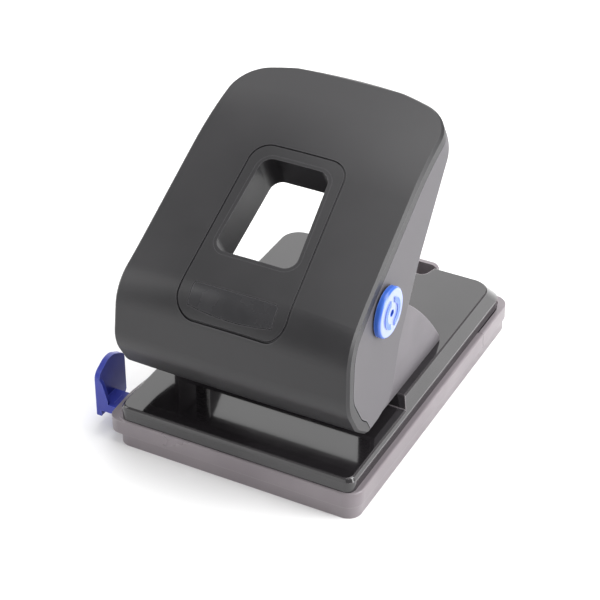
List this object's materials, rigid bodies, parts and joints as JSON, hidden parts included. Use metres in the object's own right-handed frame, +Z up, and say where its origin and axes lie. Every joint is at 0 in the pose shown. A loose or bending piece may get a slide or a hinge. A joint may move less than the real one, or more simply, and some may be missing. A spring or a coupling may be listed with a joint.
{
  "type": "two-hole paper punch",
  "caption": "Desk hole punch with a large windowed lever handle, pressed steel base, smoky chip tray with rear drawer, sliding paper guide and lock knob.",
  "frame": {"origin": "centre of the tray's footprint, on the underside that stands on the desk", "axes": "+X to the right side with the knob, +Y from the paper throat towards the back, +Z up"},
  "size_m": [0.1295, 0.1639, 0.1406],
  "materials": {
    "smoke_plastic": "smoky translucent moulded plastic, satin",
    "black_enamel": "glossy black enamel on pressed steel",
    "grey_steel": "dull zinc-plated steel",
    "bright_steel": "ground steel",
    "spring_steel": "drawn spring wire",
    "black_plastic": "fine-grained matt black moulded plastic",
    "black_gloss": "smooth semi-gloss black plate, blank",
    "blue_plastic": "glossy blue moulded plastic",
    "channel_plastic": "matt dark plastic"
  },
  "bodies": {
    "base": {"chip_tray": "smoke_plastic", "base_plate": "black_enamel", "die_left": "bright_steel", "die_right": "bright_steel", "punch_bracket": "grey_steel", "pin_guide": "grey_steel", "rivet_front_left": "bright_steel", "rivet_rear_left": "bright_steel", "rivet_front_right": "bright_steel", "rivet_rear_right": "bright_steel", "pivot_axle_left": "bright_steel", "pivot_axle_right": "bright_steel", "axle_cap": "black_plastic", "guide_channel": "channel_plastic"},
    "handle": {"handle_cover": "black_plastic", "handle_body": "black_plastic", "window_bezel": "black_plastic", "name_badge": "black_gloss", "handle_lever": "grey_steel", "press_roller_left": "bright_steel", "press_roller_right": "bright_steel"},
    "lock_knob": {"lock_knob": "blue_plastic"},
    "pin_left": {"punch_pin_left": "bright_steel", "return_spring_left": "spring_steel"},
    "pin_right": {"punch_pin_right": "bright_steel", "return_spring_right": "spring_steel"},
    "tray_drawer": {"tray_drawer": "smoke_plastic"},
    "paper_guide": {"paper_guide": "blue_plastic"}
  },
  "joints": [
    {"name": "handle_press", "type": "hinge", "parent": "base", "child": "handle", "pos_m": [0, -0.0465, 0.083], "axis": [-1, 0, 0], "range_deg": [0, 38], "stiffness_Nm_per_rad": 1, "springref_deg": -20.05},
    {"name": "knob_turn", "type": "hinge", "parent": "handle", "child": "lock_knob", "pos_m": [0, -0.0465, 0.083], "axis": [1, 0, 0], "range_deg": [0, 90]},
    {"name": "pin_left_slide", "type": "slide", "parent": "base", "child": "pin_left", "axis": [0, 0, -1], "range_m": [0, 0.0072], "deforming": ["return_spring_left"]},
    {"name": "pin_right_slide", "type": "slide", "parent": "base", "child": "pin_right", "axis": [0, 0, -1], "range_m": [0, 0.0072], "deforming": ["return_spring_right"]},
    {"name": "drawer_slide", "type": "slide", "parent": "base", "child": "tray_drawer", "axis": [0, 1, 0], "range_m": [0, 0.026]},
    {"name": "guide_slide", "type": "slide", "parent": "base", "child": "paper_guide", "axis": [-1, 0, 0], "range_m": [-0.0035, 0.06]}
  ],
  "couplings": [
    {"joint": "pin_left_slide", "follows": "handle_press", "m_per_rad": 0.010799},
    {"joint": "pin_right_slide", "follows": "handle_press", "m_per_rad": 0.010799}
  ]
}
